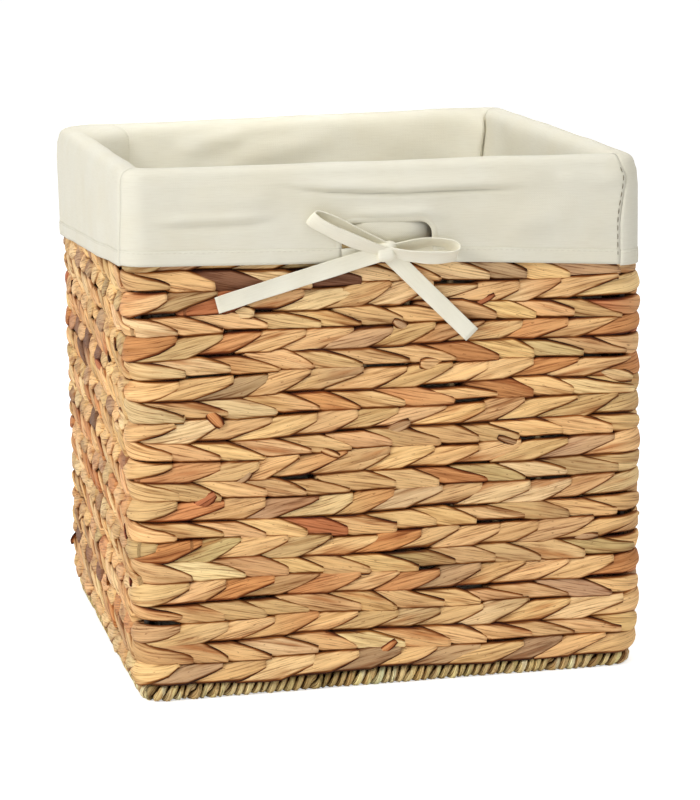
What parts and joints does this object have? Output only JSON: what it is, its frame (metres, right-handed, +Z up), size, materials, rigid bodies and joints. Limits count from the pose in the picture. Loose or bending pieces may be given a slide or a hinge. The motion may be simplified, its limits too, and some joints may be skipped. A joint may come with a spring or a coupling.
{
  "type": "woven laundry basket",
  "caption": "Square twined plant-fibre basket with a removable cotton liner folded over the rim as a cuff and tied with ribbon bows at the hand holes.",
  "frame": {"origin": "middle of the footprint at floor level", "axes": "+Z up, -Y the front with the pictured bow, +X to the right seen from the front"},
  "size_m": [0.3122, 0.3294, 0.316],
  "materials": {
    "hyacinth": "dry twined water hyacinth",
    "seagrass": "twisted seagrass cord",
    "cane": "peeled cane",
    "frame_wire": "dark coated steel wire",
    "cotton": "plain woven off-white cotton",
    "ribbon": "cotton tape"
  },
  "bodies": {
    "basket": {"back_grip_wire": "frame_wire", "back_stakes": "cane", "base_border_rope": "seagrass", "base_cords": "seagrass", "base_stakes": "cane", "base_wire_ring": "frame_wire", "corner_posts": "frame_wire", "front_grip_wire": "frame_wire", "front_stakes": "cane", "left_stakes": "cane", "right_stakes": "cane", "rim_border": "hyacinth", "top_wire_ring": "frame_wire", "weave_row_01": "hyacinth", "weave_row_02": "hyacinth", "weave_row_03": "hyacinth", "weave_row_04": "hyacinth", "weave_row_05": "hyacinth", "weave_row_06": "hyacinth", "weave_row_07": "hyacinth", "weave_row_08": "hyacinth", "weave_row_09": "hyacinth", "weave_row_10": "hyacinth", "weave_row_11": "hyacinth", "weave_row_12": "hyacinth", "weave_row_13": "hyacinth", "weave_row_14": "hyacinth", "weave_row_15": "hyacinth", "weave_row_16": "hyacinth", "weave_row_17": "hyacinth", "weave_row_18": "hyacinth", "weave_row_19": "hyacinth", "weave_row_20": "hyacinth", "weave_row_21": "hyacinth", "weave_row_22": "hyacinth", "weave_row_23": "hyacinth", "weave_row_24": "hyacinth"},
    "liner": {"liner_front_panel": "cotton", "liner_right_panel": "cotton", "liner_back_panel": "cotton", "liner_left_panel": "cotton", "liner_base_panel": "cotton", "hem_tape": "cotton", "back_notch_binding": "cotton", "front_notch_binding": "cotton", "back_bow_knot": "ribbon", "back_bow_left_loop": "ribbon", "back_bow_left_tail": "ribbon", "back_bow_right_loop": "ribbon", "back_bow_right_tail": "ribbon", "back_tie_leads": "ribbon", "front_bow_knot": "ribbon", "front_bow_left_loop": "ribbon", "front_bow_left_tail": "ribbon", "front_bow_right_loop": "ribbon", "front_bow_right_tail": "ribbon", "front_tie_leads": "ribbon"}
  },
  "joints": [
    {"name": "liner_lift", "type": "slide", "parent": "basket", "child": "liner", "axis": [0, 0, 1], "range_m": [0, 0.32]}
  ]
}
